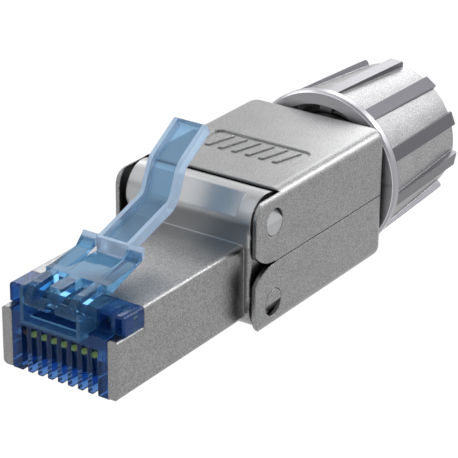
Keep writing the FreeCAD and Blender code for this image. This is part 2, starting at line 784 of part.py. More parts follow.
# The lever is one springy moulding: a plate whose two rear horns lock in the jack, arms that end in feet
# with hinge pins, a tongue between them, and the thumb lever, a tray that rises in an S from a tall root.
def make_latch_lever():
    body = new_body("latch_lever")
    floor = PLATE_TOP - s.plate_thick
    flat_back = s.plate_front + s.plate_flat
    joined = s.plate_front + s.plate_overlap
    nose = LATCH_Y + s.foot_radius
    arms = new_sketch(body, "Arms", "side")
    draw(arms, [(LATCH_Y - s.foot_radius, LATCH_Z), (nose, LATCH_Z),
                (nose + s.foot_radius, floor - s.arm_drop), (joined, floor), (joined, PLATE_TOP),
                (nose + s.foot_radius, PLATE_TOP - s.arm_drop, s.arm_bend)])
    pad(body, arms, 2 * ARM_HALF)
    before = LATCH_Y - s.foot_radius - s.past
    below = LATCH_Z - s.foot_radius - s.past
    between = new_sketch(body, "BetweenArms", "side")
    draw_box(between, before, below, s.plate_front, PLATE_TOP + s.past)
    pocket(body, between, 2 * (ARM_HALF - s.arm_width))
    feet = new_sketch(body, "Feet", "side")
    pad(body, draw_circle(feet, LATCH_Y, LATCH_Z, s.foot_radius), 2 * ARM_HALF)
    apart = new_sketch(body, "FeetApart", "side")
    draw_box(apart, before, below, s.plate_front - s.foot_room, PLATE_TOP + s.past)
    pocket(body, apart, s.foot_gap)

    horn_top = HORN_FOOT + s.horn_rise
    plate = new_sketch(body, "Plate", "side")
    draw(plate, [(s.plate_front, floor), (flat_back, floor), (HORN_BACK, HORN_FOOT + s.horn_sill),
                 (HORN_BACK, horn_top), (RAMP_BACK, HORN_FOOT), (flat_back, PLATE_TOP),
                 (s.plate_front, PLATE_TOP)])
    pad(body, plate, s.plate_width)
    middle = new_sketch(body, "PlateMiddle", "side")
    draw_box(middle, flat_back, floor - s.past, HORN_BACK + s.past, horn_top + s.past)
    pocket(body, middle, s.lever_width)
    heel = new_sketch(body, "LeverHeel", "side")
    heel_top = HORN_FOOT - s.heel_drop
    heel_floor = heel_top - s.heel_thick
    draw(heel, [(flat_back, floor), (HORN_BACK, heel_floor), (HORN_BACK, heel_top), (flat_back, PLATE_TOP)])
    pad(body, heel, s.lever_width)
    tongue = new_sketch(body, "Tongue", "side")
    tip = LATCH_Z + s.tongue_lift
    draw(tongue, [(joined, floor), (joined, PLATE_TOP), (-s.tongue_front, PLATE_TOP), (-s.tongue_nose, tip),
                  (s.tongue_tip - s.tongue_nose, tip), (s.tongue_front, floor)])
    pad(body, tongue, s.tongue_width)

    under = lever_line(-s.lever_thick / 2)
    over = lever_line(s.lever_thick / 2)
    thumb = new_sketch(body, "ThumbLever", "side")
    root_back = under[0][0] + s.lever_root * cosine(s.lever_slope)
    root_top = under[0][1] + s.lever_root * sine(s.lever_slope)
    draw(thumb, [(over[0][0], heel_floor), (root_back, root_top)] + under[1:] + backwards(over))
    pad(body, thumb, s.lever_width)
    tray = new_sketch(body, "ThumbTray", "side")
    draw(tray, lever_line(s.lever_thick / 2 - s.lever_recess, s.lever_rim)
         + backwards(lever_line(s.lever_thick / 2 + s.tray_room, s.lever_rim)))
    pocket(body, tray, s.lever_width - 2 * s.lever_rim)

    inner = ARM_HALF - s.arm_width / 2
    reach = FRAME_HALF - s.socket_skin - s.pin_clearance - inner
    for hand, side, way in (("Left", -1, "reversed"), ("Right", 1, "forward")):
        pin = new_sketch(body, hand + "Pin", "side", side * inner)
        draw_circle(pin, LATCH_Y, LATCH_Z, s.pin_radius)
        pad(body, pin, reach, way)
    return body


# The circuit board joins the eight contacts to the eight terminals behind them.
def make_circuit_board():
    body = new_body("circuit_board")
    board = new_sketch(body, "Board", "side")
    half = s.board_thick / 2
    draw_box(board, s.insert_length + s.board_gap, AXIS - half, BOARD_BACK, AXIS + half)
    pad(body, board, 2 * BOARD_HALF)
    return body


# A blade sits in one of four places across, on the upper or the lower face, in turns near and far.
def blade_place(index):
    return (index - 1.5) * s.blade_pitch, IDC_FRONT + s.blade_setback + (index % 2) * s.blade_stagger


# The terminal block is a plastic frame on the board, with a slot that holds each blade upright.
def make_idc_block(label, way):
    body = new_body(label)
    bottom = AXIS + way * s.board_thick / 2
    top = bottom + way * s.idc_height
    side = new_sketch(body, label + "Side", "side")
    draw_box(side, IDC_FRONT, bottom, IDC_BACK, top)
    pad(body, side, 2 * IDC_HALF)
    slots = new_sketch(body, label + "Slots", "top", top)
    for index in range(4):
        across, along = blade_place(index)
        draw_box(slots, across - s.blade_width / 2 - s.seat_gap, along - s.seat_gap,
                 across + s.blade_width / 2 + s.seat_gap, along + s.blade_metal + s.seat_gap)
    pocket(body, slots, None, "forward" if way > 0 else "reversed")
    return body


# A blade is stamped from sheet: a post with a forked upper end, whose slit cuts into one wire.
def make_idc_contact(number):
    index = (number - 1) % 4
    way = 1 if number > 4 else -1
    across, along = blade_place(index)
    body = new_body("idc_contact_%d" % number, across)
    face = AXIS + way * s.board_thick / 2
    tip = face + way * s.blade_height
    fork = tip - way * s.fork_depth
    half, slit, lead = s.blade_width / 2, s.fork_width / 2, s.fork_width
    blade = new_sketch(body, "Blade%d" % number, "front", along)
    draw(blade, [(-half, face), (half, face), (half, tip), (slit + lead, tip), (slit, tip - way * lead),
                 (slit, fork), (-slit, fork), (-slit, tip - way * lead), (-slit - lead, tip), (-half, tip)])
    pad(body, blade, s.blade_metal, "reversed")
    return body


# A wire cap is a plastic bridge with four channels for the wires and a slot over each blade.
def make_wire_cap(label, way):
    body = new_body(label)
    start = s.board_thick / 2 + s.idc_height + s.seat_gap
    bottom = AXIS + way * start
    top = bottom + way * s.cap_height
    side = new_sketch(body, label + "Side", "side")
    draw_box(side, IDC_FRONT, bottom, IDC_BACK, top)
    pad(body, side, 2 * CAP_HALF)
    channels = new_sketch(body, label + "Channels", "front", IDC_FRONT - s.past)
    for index in range(4):
        across = blade_place(index)[0]
        draw_box(channels, across - s.wire_width / 2, AXIS,
                 across + s.wire_width / 2, bottom + way * s.wire_height)
    pocket(body, channels, None, "forward")
    slots = new_sketch(body, label + "Slots", "top", bottom)
    room = s.seat_gap + s.channel_room
    for index in range(4):
        across, along = blade_place(index)
        draw_box(slots, across - s.blade_width / 2 - room, along - room,
                 across + s.blade_width / 2 + room, along + s.blade_metal + room)
    reach = s.blade_height - s.idc_height + s.channel_room
    pocket(body, slots, reach, "reversed" if way > 0 else "forward")
    return body


# The wire separator is a cross of foil-lined plate that keeps the four pairs of wires apart.
def make_wire_separator():
    body = new_body("wire_separator")
    cross = new_sketch(body, "SeparatorCross", "front", SEPARATOR_FRONT)
    web, reach, rise = s.separator_web / 2, RAIL_INSIDE - s.seat_gap, s.separator_reach
    draw(cross, [(-reach, AXIS - web), (-web, AXIS - web), (-web, AXIS - rise), (web, AXIS - rise),
                 (web, AXIS - web), (reach, AXIS - web), (reach, AXIS + web), (web, AXIS + web),
                 (web, AXIS + rise), (-web, AXIS + rise), (-web, AXIS + web), (-reach, AXIS + web)])
    pad(body, cross, s.separator_length, "reversed")
    return body


# The neck is a zinc die casting that the covers close round: a threaded tube on a plate, held to the
# shell by two rails whose ends sit in the block.
def make_gland_neck():
    body = new_body("gland_neck")
    plate = new_sketch(body, "NeckPlate", "front", NECK_PLATE_FRONT)
    width = COVER_HALF - s.cover_wall - s.neck_plate_side
    rise = s.cover_rise - s.cover_plate - s.neck_plate_room
    draw_box(plate, -width, AXIS - rise, width, AXIS + rise)
    pad(body, plate, s.neck_plate_thick, "reversed")
    fillet(body, "NeckPlateEdges", s.cover_round, lambda edge: runs_along(edge, ALONG_Y))
    front = BLOCK_BACK - s.rail_socket
    for hand, side in (("Left", -1), ("Right", 1)):
        rail = new_sketch(body, hand + "Rail", "front", front)
        draw_box(rail, side * RAIL_INSIDE, AXIS - s.rail_height / 2,
                 side * RAIL_OUTSIDE, AXIS + s.rail_height / 2)
        pad(body, rail, NECK_PLATE_BACK - front, "reversed")
    tube = new_sketch(body, "NeckTube", "front", NECK_PLATE_FRONT)
    draw_circle(tube, 0, AXIS, s.neck_radius)
    pad(body, tube, NECK_END - NECK_PLATE_FRONT, "reversed")
    bore = new_sketch(body, "NeckBore", "front", NECK_PLATE_FRONT - s.past)
    draw_circle(bore, 0, AXIS, s.cable_radius)
    pocket(body, bore, None, "forward")
    return body


# The clamp ring is a plastic collet. The nut pushes its slotted end, which then grips the cable's screen.
def make_clamp_ring():
    body = new_body("clamp_ring", 0.0, True)
    front = NECK_END + s.ring_gap
    back = front + s.ring_length
    inner = s.ring_radius - s.ring_wall
    wall = new_sketch(body, "RingWall", "side")
    draw(wall, [(front, inner), (back, inner), (back, s.ring_radius - s.ring_taper),
                (back - 2 * s.ring_taper, s.ring_radius), (front, s.ring_radius)])
    revolve(body, wall)
    slot = new_sketch(body, "RingSlot", "side")
    draw_box(slot, front + s.ring_base, 0, back + s.past, s.ring_radius + s.past)
    cut = pocket(body, slot, s.ring_slot)
    repeat_round(body, cut, s.ring_slots)
    return body


# The cap nut is one turned and cast piece. Its outside narrows backwards between straight grip ribs,
# which run out level with its smooth front collar.
def make_cap_nut():
    body = new_body("cap_nut", 0.0, True)
    bind(body, "Placement.Rotation.Angle", s.rib_turn)
    body.Placement.Rotation.Axis = Vector(0, 1, 0)
    chamfer = s.nut_chamfer
    thread = s.neck_radius + s.thread_clearance
    chamber = NECK_END + s.ring_gap - s.seat_gap
    wall = NUT_BACK - s.nut_wall
    hole = s.cable_radius + s.cable_clearance
    collar = NUT_FRONT + s.collar_length
    rib_back = NUT_BACK - s.rib_stop
    profile = new_sketch(body, "NutProfile", "side")
    draw(profile, [(NUT_FRONT, s.nut_relief), (NUT_FRONT + s.nut_relief_depth, s.nut_relief),
                   (NUT_FRONT + s.nut_relief_depth, thread), (chamber, thread),
                   (chamber, s.chamber_radius), (wall - s.chamber_cone, s.chamber_radius),
                   (wall, s.chamber_radius - s.chamber_cone), (wall, hole), (NUT_BACK, hole),
                   (NUT_BACK, s.nut_waist - chamfer), (NUT_BACK - chamfer, s.nut_waist),
                   (collar + s.collar_step, s.nut_shoulder), (collar, s.nut_radius),
                   (NUT_FRONT + chamfer, s.nut_radius), (NUT_FRONT, s.nut_radius - chamfer)])
    revolve(body, profile)
    rib = new_sketch(body, "GripRib", "side")
    foot = s.chamber_radius + chamfer
    draw(rib, [(NUT_FRONT + chamfer, foot), (rib_back, foot), (rib_back, s.rib_back_radius - chamfer),
               (rib_back - chamfer, s.rib_back_radius), (NUT_FRONT + chamfer, s.rib_front_radius)])
    first = pad(body, rib, s.rib_width)
    repeat_round(body, first, s.rib_count)
    return body


make_plug_shell()
make_upper_cover()
make_cover("lower_cover", -1)
make_contact_carrier()
for number in range(1, 9):
    make_contact(number)
    make_idc_contact(number)
make_latch_frame()
make_latch_lever()
make_circuit_board()
for where, way in (("upper", 1), ("lower", -1)):
    make_idc_block("idc_block_" + where, way)
    make_wire_cap("wire_cap_" + where, way)
make_wire_separator()
make_gland_neck()
make_clamp_ring()
make_cap_nut()
doc.recompute()

failed = [item.Name for item in doc.Objects if "Invalid" in item.State or "Error" in item.State]
if failed:
    raise RuntimeError("failed to build: " + ", ".join(failed))
bodies = [item for item in doc.Objects if item.TypeId == "PartDesign::Body"]
unsound = [item.Label for item in bodies if item.Shape.isNull() or not item.Shape.isValid()]
if unsound:
    raise RuntimeError("not sound: " + ", ".join(unsound))

os.makedirs("parts", exist_ok=True)
for item in bodies:
    item.Shape.exportStep("parts/%s.step" % item.Label)
    print(item.Label, len(item.Shape.Solids), "%.2f mm3" % item.Shape.Volume)
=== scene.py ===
import bmesh
import bpy
import math
from mathutils import Matrix, Vector


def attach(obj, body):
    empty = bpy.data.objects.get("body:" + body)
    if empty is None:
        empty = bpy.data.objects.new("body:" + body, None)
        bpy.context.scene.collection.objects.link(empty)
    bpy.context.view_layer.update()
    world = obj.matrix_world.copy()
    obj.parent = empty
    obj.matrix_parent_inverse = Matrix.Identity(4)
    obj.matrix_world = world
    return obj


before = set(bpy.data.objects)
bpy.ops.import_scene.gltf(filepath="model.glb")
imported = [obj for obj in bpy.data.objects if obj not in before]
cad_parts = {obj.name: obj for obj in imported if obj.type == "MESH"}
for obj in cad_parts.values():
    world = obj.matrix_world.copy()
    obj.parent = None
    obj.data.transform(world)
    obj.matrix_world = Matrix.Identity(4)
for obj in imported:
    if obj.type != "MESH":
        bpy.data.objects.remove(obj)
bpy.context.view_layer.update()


# The shell, the two covers and the neck are zinc die castings, blasted with fine beads and nickel plated.
# The blasting leaves a sparkle of tiny pits, and the mould's edges stay a little rounded. The covers meet
# in a fine dark line. The top of the nose towards the hinges is painted paler, a painted sheen that stands
# in for the light it reflects.
MM = 0.001


class Signal:
    """A node's output. Arithmetic on it adds the Math nodes that work it out."""

    def __init__(self, finish, socket):
        self.finish = finish
        self.socket = socket

    def worked(self, operation, *others):
        values = dict(enumerate((self,) + others))
        return self.finish.node("ShaderNodeMath", {"operation": operation}, values)

    def either(self, other):
        return self.worked("MAXIMUM", other)

    def __abs__(self):
        return self.worked("ABSOLUTE")

    def __add__(self, other):
        return self.worked("ADD", other)

    def __sub__(self, other):
        return self.worked("SUBTRACT", other)

    def __mul__(self, other):
        return self.worked("MULTIPLY", other)

    def __gt__(self, other):
        return self.worked("GREATER_THAN", other)

    def __lt__(self, other):
        return self.worked("LESS_THAN", other)

    def __pow__(self, other):
        return self.worked("POWER", other)

    def __radd__(self, other):
        return self + other

    def __rmul__(self, other):
        return self * other

    def __rsub__(self, other):
        return self * -1.0 + other


EDGE_SAMPLES = 4


class Finish:
    """A material, or the world, under construction."""

    def __init__(self, name, kind=bpy.data.materials):
        self.made = kind.new(name)
        self.made.use_nodes = True
        self.tree = self.made.node_tree
        self.tree.nodes.clear()

    def node(self, kind, settings=None, values=None, output=0):
        made = self.tree.nodes.new(kind)
        for name, setting in (settings or {}).items():
            setattr(made, name, setting)
        for name, value in (values or {}).items():
            if isinstance(value, Signal):
                self.tree.links.new(value.socket, made.inputs[name])
            else:
                made.inputs[name].default_value = value
        if output is not None:
            return Signal(self, made.outputs[output])

    def place(self):
        return self.node("ShaderNodeTexCoord", output="Object")

    def part(self, place, axis):
        return self.node("ShaderNodeSeparateXYZ", {}, {0: place}, axis)

    def smooth_step(self, value, low, high):
        return self.node("ShaderNodeMapRange", {"interpolation_type": "SMOOTHSTEP"},
                         {"Value": value, "From Min": low, "From Max": high})

    def blend(self, factor, first, second):
        # A Mix node that is set to colours takes them at inputs 6 and 7, and gives its colour at output 2.
        return self.node("ShaderNodeMix", {"data_type": "RGBA"}, {0: factor, 6: first, 7: second}, 2)

    def blend_shaders(self, factor, first, second):
        return self.node("ShaderNodeMixShader", {}, {0: factor, 1: first, 2: second})

    def noise(self, place, scale, detail):
        return self.node("ShaderNodeTexNoise", {}, {"Vector": place, "Scale": scale, "Detail": detail})

    def relief(self, height, strength, depth, rounding=None):
        values = {"Strength": strength, "Distance": depth, "Height": height}
        if rounding:
            values["Normal"] = self.node("ShaderNodeBevel", {"samples": EDGE_SAMPLES}, {"Radius": rounding})
        return self.node("ShaderNodeBump", {}, values)

    def show(self, shader, end="ShaderNodeOutputMaterial"):
        self.node(end, {}, {"Surface": shader}, output=None)
        return self.made


def dress(material, *nodes):
    for node in nodes:
        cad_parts[node].material_slots[0].material = material


BEAD_GRAIN = 9500.0
BEAD_DETAIL = 2.0
BEAD_SHARE = 0.88
CLOUD_GRAIN = 450.0
CLOUD_DETAIL = 3.0
CLOUD_SHARE = 0.12
PIT_TONE = 0.36
PEAK_TONE = 0.64
PIT_DEPTH = 0.02 * MM
CAST_PITTING = 0.4
CAST_ROUND = 0.17 * MM
CAST_ROUGHNESS = 0.27
CLOUD_ROUGHNESS = 0.1
NICKEL_PIT = (0.18, 0.18, 0.182, 1.0)
NICKEL_PEAK = (0.32, 0.321, 0.323, 1.0)
# Painted sheen: the top of the nose towards the hinges is painted in this paler tone.
NICKEL_PAINTED_SHEEN = (0.37, 0.375, 0.38, 1.0)
PAINTED_SHEEN_FROM = -12.5 * MM
PAINTED_SHEEN_TO = -8.5 * MM
NOSE_TOP = 9.8 * MM
PARTING = 7.9 * MM
SEAM_HALF = 0.06 * MM
SEAM_SHADE = (0.05, 0.05, 0.05, 1.0)


def blasted(finish, place):
    """The height of the bead pits, the broad clouding, and the tone that both give."""
    beads = finish.noise(place, BEAD_GRAIN, BEAD_DETAIL)
    cloud = finish.noise(place, CLOUD_GRAIN, CLOUD_DETAIL)
    tone = finish.smooth_step(beads * BEAD_SHARE + cloud * CLOUD_SHARE, PIT_TONE, PEAK_TONE)
    return beads, cloud, tone


def die_cast(finish, place, mask, over):
    """Blasted nickel, which takes the colour over where the mask is 1."""
    beads, cloud, tone = blasted(finish, place)
    nickel = finish.blend(tone, NICKEL_PIT, NICKEL_PEAK)
    return finish.show(finish.node("ShaderNodeBsdfPrincipled", {}, {
        "Base Color": finish.blend(mask, nickel, over),
        "Metallic": 1.0,
        "Roughness": CAST_ROUGHNESS + CLOUD_ROUGHNESS * cloud,
        "Normal": finish.relief(beads, CAST_PITTING, PIT_DEPTH, CAST_ROUND)}))


cover_finish = Finish("blasted_nickel")
place = cover_finish.place()
seam = abs(cover_finish.part(place, "Z") - PARTING) < SEAM_HALF
dress(die_cast(cover_finish, place, seam, SEAM_SHADE), "upper_cover", "lower_cover", "gland_neck")

shell_finish = Finish("shell_nickel")
place = shell_finish.place()
# Painted sheen on the top of the nose towards the hinges.
painted_sheen = shell_finish.smooth_step(shell_finish.part(place, "Y"), PAINTED_SHEEN_FROM, PAINTED_SHEEN_TO)
painted_sheen = painted_sheen * (shell_finish.part(place, "Z") > NOSE_TOP)
dress(die_cast(shell_finish, place, painted_sheen, NICKEL_PAINTED_SHEEN), "plug_shell")


# A row of plain slanted grip bars stands in the recess of the upper cover, raised by the same casting.
# They are drawn as thin ribs with rounded tops, so that a thumb feels where to press the cover shut.
BAR_COUNT = 6
BAR_SIZE = Vector((0.46, 3.0, 0.25)) * MM
BAR_PITCH = 1.42 * MM
BAR_LEAN = 0.25
BAR_SUNK = 0.1 * MM
BAR_ROUND = 0.1 * MM
BAR_ROUND_STEPS = 3
RECESS_MIDDLE = 1.85 * MM
RECESS_FLOOR = 13.98 * MM


def stand(name, data):
    made = bpy.data.objects.new(name, data)
    bpy.context.scene.collection.objects.link(made)
    return made


def made_from(shape, name, material):
    mesh = bpy.data.meshes.new(name)
    shape.to_mesh(mesh)
    shape.free()
    mesh.materials.append(material)
    return stand(name, mesh)


bars = bmesh.new()
for number in range(BAR_COUNT):
    corners = bmesh.ops.create_cube(bars, size=1.0)["verts"]
    bmesh.ops.scale(bars, vec=BAR_SIZE, verts=corners)
    for corner in corners:
        corner.co.x += corner.co.y * BAR_LEAN
    across = (number - (BAR_COUNT - 1) / 2) * BAR_PITCH
    height = RECESS_FLOOR - BAR_SUNK + BAR_SIZE.z / 2
    bmesh.ops.translate(bars, vec=(across, RECESS_MIDDLE, height), verts=corners)
top_edges = [edge for edge in bars.edges if min(corner.co.z for corner in edge.verts) > RECESS_FLOOR]
bmesh.ops.bevel(bars, geom=top_edges, offset=BAR_ROUND, offset_type="OFFSET", segments=BAR_ROUND_STEPS,
                profile=0.5, affect="EDGES", material=-1)
grip_bars = made_from(bars, "grip_bars", cover_finish.made)
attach(grip_bars, "top")


# The cap nut is cast and turned. Its collar and the tops of its grip ribs are left smooth, and the valleys
# between the ribs are blasted like the covers. The rib tops are painted dark, a painted reflection of dark
# surroundings. The collar's front is polished and painted near white, partly a painted highlight, and the
# valleys end in a thin dark line at the back.
NUT_AXIS = 7.9 * MM
COLLAR_FACE = 13.43 * MM
COLLAR_BACK = 14.25 * MM
BACK_LINE = 26.66 * MM
BACK_LINE_WIDTH = 0.2 * MM
RIB_FROM = 0.04 * MM
RIB_TO = 0.09 * MM
NUT_PITTING = 0.35
NUT_ROUND = 0.06 * MM
VALLEY_ROUGHNESS = 0.42
TURNED_SMOOTHER = 0.14
# Painted reflection: the rib tops are painted this dark for the dark surroundings they mirror.
RIB_TOP_PAINTED_REFLECTION = (0.11, 0.108, 0.12, 1.0)
COLLAR_METAL = (0.34, 0.337, 0.36, 1.0)
# Partly a painted highlight: the polished collar face is painted near white.
FACE_POLISH_AND_HIGHLIGHT = (0.72, 0.717, 0.74, 1.0)
LINE_METAL = (0.06, 0.06, 0.065, 1.0)
NUT_PEAK = (0.39, 0.39, 0.395, 1.0)
NUT_PIT = (0.22, 0.22, 0.225, 1.0)
# Each end of a valley's floor is given by its place along the plug and its distance from the nut's axis.
VALLEY_FRONT = Vector((14.7, 7.5)) * MM
VALLEY_BACK = Vector((26.7, 6.67)) * MM

nut_finish = Finish("nut_nickel")
place = nut_finish.place()
beads, _, tone = blasted(nut_finish, place)
along = nut_finish.part(place, "Y")
across = nut_finish.part(place, "X")
rise = nut_finish.part(place, "Z") - NUT_AXIS
radius = (across * across + rise * rise) ** 0.5
fall = (VALLEY_BACK.y - VALLEY_FRONT.y) / (VALLEY_BACK.x - VALLEY_FRONT.x)
valley_floor = (along - VALLEY_FRONT.x) * fall + VALLEY_FRONT.y
collar = along < COLLAR_BACK
turned = collar.either(nut_finish.smooth_step(radius - valley_floor, RIB_FROM, RIB_TO))
# The smooth zones carry the painted reflection on the rib tops and the painted highlight on the collar
# face.
smooth_metal_and_painted_light = nut_finish.blend(collar, RIB_TOP_PAINTED_REFLECTION, COLLAR_METAL)
smooth_metal_and_painted_light = nut_finish.blend(along < COLLAR_FACE, smooth_metal_and_painted_light, FACE_POLISH_AND_HIGHLIGHT)
back_line = (along > BACK_LINE) * (along < BACK_LINE + BACK_LINE_WIDTH)
valley_metal = nut_finish.blend(tone, NUT_PIT, NUT_PEAK)
valley_metal = nut_finish.blend(back_line, valley_metal, LINE_METAL)
nut_finish.show(nut_finish.node("ShaderNodeBsdfPrincipled", {}, {
    "Base Color": nut_finish.blend(turned, valley_metal, smooth_metal_and_painted_light),
    "Metallic": 1.0,
    "Roughness": VALLEY_ROUGHNESS - TURNED_SMOOTHER * turned,
    "Normal": nut_finish.relief(beads * (1 - turned), NUT_PITTING, PIT_DEPTH, NUT_ROUND)}))
dress(nut_finish.made, "cap_nut")


# The insert is moulded in clear blue plastic from a polished mould. Its comb is thin enough to show the
# gold contacts behind its bars. Its body is deep and closed in by metal, and its shade is painted: the body
# and the posts beside the comb take a darker and less clear copy of the plastic.
COMB_LOOK = {"colour": (0.09, 0.24, 0.58, 1.0), "roughness": 0.07, "clearness": 0.98, "ripple": 0.03}
# Painted shade: a darker, less clear copy of the same plastic for the shaded body.
BODY_PAINTED_SHADE_LOOK = {"colour": (0.03, 0.13, 0.42, 1.0), "roughness": 0.04, "clearness": 0.72, "ripple": 0.03}
BODY_IN_COMB = 0.3
COMB_TOP = 6.9 * MM
COMB_FADE = 0.3 * MM
COMB_HALF = 4.3 * MM
FLOW_GRAIN = 400.0
FLOW_DETAIL = 2.0
FLOW_DEPTH = 0.04 * MM
MOULD_ROUND = 0.08 * MM
MOULD_GLOSS = 0.1
GLOSS_ROUGHNESS = 0.03
THIN_WALL_IOR = 1.2


def clear_plastic(finish, colour, roughness, clearness, ripple, gloss=MOULD_GLOSS):
    flow = finish.noise(finish.place(), FLOW_GRAIN, FLOW_DETAIL)
    return finish.node("ShaderNodeBsdfPrincipled", {}, {
        "Base Color": colour,
        "Roughness": roughness,
        "Transmission Weight": clearness,
        "IOR": THIN_WALL_IOR,
        "Coat Weight": gloss,
        "Coat Roughness": GLOSS_ROUGHNESS,
        "Normal": finish.relief(flow, ripple, FLOW_DEPTH, MOULD_ROUND)})


insert_finish = Finish("clear_blue_plastic")
place = insert_finish.place()
height = insert_finish.part(place, "Z")
above_comb = insert_finish.smooth_step(height, COMB_TOP - COMB_FADE, COMB_TOP + COMB_FADE)
beside_comb = abs(insert_finish.part(place, "X")) > COMB_HALF
off_comb = above_comb.either(beside_comb).either(BODY_IN_COMB)
comb = clear_plastic(insert_finish, **COMB_LOOK)
# The painted shade on the body and beside the comb.
body = clear_plastic(insert_finish, **BODY_PAINTED_SHADE_LOOK)
dress(insert_finish.show(insert_finish.blend_shaders(off_comb, comb, body)), "contact_carrier")


# The latch and its shroud are moulded in a paler blue plastic. The shroud, the hinge arms and the plate
# are clear, and the thumb lever is milky. Its thin rims are painted paler and less clear, painted light
# for the light that they catch.
SHROUD_LOOK = {"colour": (0.15, 0.37, 0.62, 1.0), "roughness": 0.05, "clearness": 0.85, "ripple": 0.06}
ARM_LOOK = {"colour": (0.13, 0.33, 0.55, 1.0), "roughness": 0.06, "clearness": 0.9, "ripple": 0.06}
TRAY_LOOK = {"colour": (0.32, 0.53, 0.74, 1.0), "roughness": 0.06, "clearness": 0.78, "ripple": 0.06}
# Painted light: the thumb lever's thin rims are painted paler and less clear.
RIM_PAINTED_LIGHT_LOOK = {"colour": (0.55, 0.7, 0.87, 1.0), "roughness": 0.12, "clearness": 0.38, "ripple": 0.06}
RIM_INSIDE = 1.2 * MM
RIM_FADE = 0.06 * MM
LEVER_START = -18.9 * MM
LEVER_FADE = 0.2 * MM
LEVER_WALL = -18.3 * MM

shroud_finish = Finish("pale_blue_plastic")
dress(shroud_finish.show(clear_plastic(shroud_finish, **SHROUD_LOOK)), "latch_frame")

latch_finish = Finish("milky_blue_plastic")
place = latch_finish.place()
side = abs(latch_finish.part(place, "X"))
along = latch_finish.part(place, "Y")
lever = latch_finish.smooth_step(along, LEVER_START, LEVER_START + LEVER_FADE)
rim = latch_finish.smooth_step(side, RIM_INSIDE, RIM_INSIDE + RIM_FADE).either(along < LEVER_WALL)
arms = clear_plastic(latch_finish, gloss=0.0, **ARM_LOOK)
tray = clear_plastic(latch_finish, **TRAY_LOOK)
# The rims' painted light.
milky = clear_plastic(latch_finish, **RIM_PAINTED_LIGHT_LOOK)
thumb = latch_finish.blend_shaders(rim, tray, milky)
dress(latch_finish.show(latch_finish.blend_shaders(lever, arms, thumb)), "latch_lever")


# The contacts are folded from copper strip and plated with gold, and the forked terminals are tinned.
# The wire separator is a moulding with plain foil on it. The tips of the gold contacts have a painted
# glint: they glow a little, though they are no lamp, for the light that the clear comb gathers onto them.
CONTACT_COUNT = 8
GOLD = (0.95, 0.76, 0.3, 1.0)
GOLD_ROUGHNESS = 0.25
TIN = (0.72, 0.72, 0.7, 1.0)
FOIL = (0.7, 0.7, 0.71, 1.0)
TIN_ROUGHNESS = 0.3
DRAWN_GRAIN = 12000.0
DRAWN_DETAIL = 2.0
DRAWN_STRETCH = (1.0, 0.1, 1.0)
DRAWN_RELIEF = 0.2
DRAWN_DEPTH = 0.01 * MM
DRAWN_ROUGHNESS = 0.1
TIP_LOW = 5.45 * MM
TIP_FADE = 0.15 * MM
# Painted glint: the tips of the gold contacts glow a little, though they are no lamp.
NO_PAINTED_GLINT = (0.0, 0.0, 0.0, 1.0)
PAINTED_GOLD_GLINT = (1.0, 0.62, 0.06, 1.0)
PAINTED_GLINT_STRENGTH = 1.1


def plated(finish, colour, roughness, painted_glint=None):
    drawn = finish.node("ShaderNodeMapping", {}, {"Vector": finish.place(), "Scale": DRAWN_STRETCH})
    lines = finish.noise(drawn, DRAWN_GRAIN, DRAWN_DETAIL)
    return finish.show(finish.node("ShaderNodeBsdfPrincipled", {}, {
        "Base Color": colour,
        "Metallic": 1.0,
        "Roughness": roughness + DRAWN_ROUGHNESS * lines,
        "Normal": finish.relief(lines, DRAWN_RELIEF, DRAWN_DEPTH),
        **(painted_glint or {})}))


numbers = range(1, CONTACT_COUNT + 1)
gold = Finish("gold_plate")
tip = gold.smooth_step(gold.part(gold.place(), "Z"), TIP_LOW, TIP_LOW + TIP_FADE)
# The painted glint on the contacts' tips.
painted_glint = {"Emission Color": gold.blend(tip, NO_PAINTED_GLINT, PAINTED_GOLD_GLINT), "Emission Strength": PAINTED_GLINT_STRENGTH}
dress(plated(gold, GOLD, GOLD_ROUGHNESS, painted_glint), *["contact_%d" % number for number in numbers])
tin = plated(Finish("tin_plate"), TIN, TIN_ROUGHNESS)
dress(tin, *["idc_contact_%d" % number for number in numbers])
dress(plated(Finish("separator_foil"), FOIL, TIN_ROUGHNESS), "wire_separator")


# Inside, a green circuit board carries black terminal blocks, under grey caps that hold the wires.
# The clamp ring in the nut is moulded in the same grey as the caps.
BOARD_LOOK = {"dark": (0.01, 0.12, 0.04, 1.0), "light": (0.02, 0.2, 0.07, 1.0),
              "grain": 1500.0, "roughness": 0.25}
BLOCK_LOOK = {"dark": (0.02, 0.02, 0.022, 1.0), "light": (0.04, 0.04, 0.043, 1.0),
              "grain": 6000.0, "roughness": 0.4}
CAP_LOOK = {"dark": (0.55, 0.56, 0.56, 1.0), "light": (0.68, 0.69, 0.69, 1.0),
            "grain": 6000.0, "roughness": 0.4}
SPECK_DETAIL = 3.0
SPECK_LOW = 0.3
SPECK_HIGH = 0.7
SPECK_RELIEF = 0.3
SPECK_DEPTH = 0.02 * MM
SPECK_ROUGHNESS = 0.1


def opaque_plastic(name, dark, light, grain, roughness):
    finish = Finish(name)
    speck = finish.noise(finish.place(), grain, SPECK_DETAIL)
    return finish.show(finish.node("ShaderNodeBsdfPrincipled", {}, {
        "Base Color": finish.blend(finish.smooth_step(speck, SPECK_LOW, SPECK_HIGH), dark, light),
        "Roughness": roughness + SPECK_ROUGHNESS * speck,
        "Normal": finish.relief(speck, SPECK_RELIEF, SPECK_DEPTH)}))


dress(opaque_plastic("solder_mask", **BOARD_LOOK), "circuit_board")
dress(opaque_plastic("black_moulding", **BLOCK_LOOK), "idc_block_upper", "idc_block_lower")
dress(opaque_plastic("grey_moulding", **CAP_LOOK), "wire_cap_upper", "wire_cap_lower", "clamp_ring")


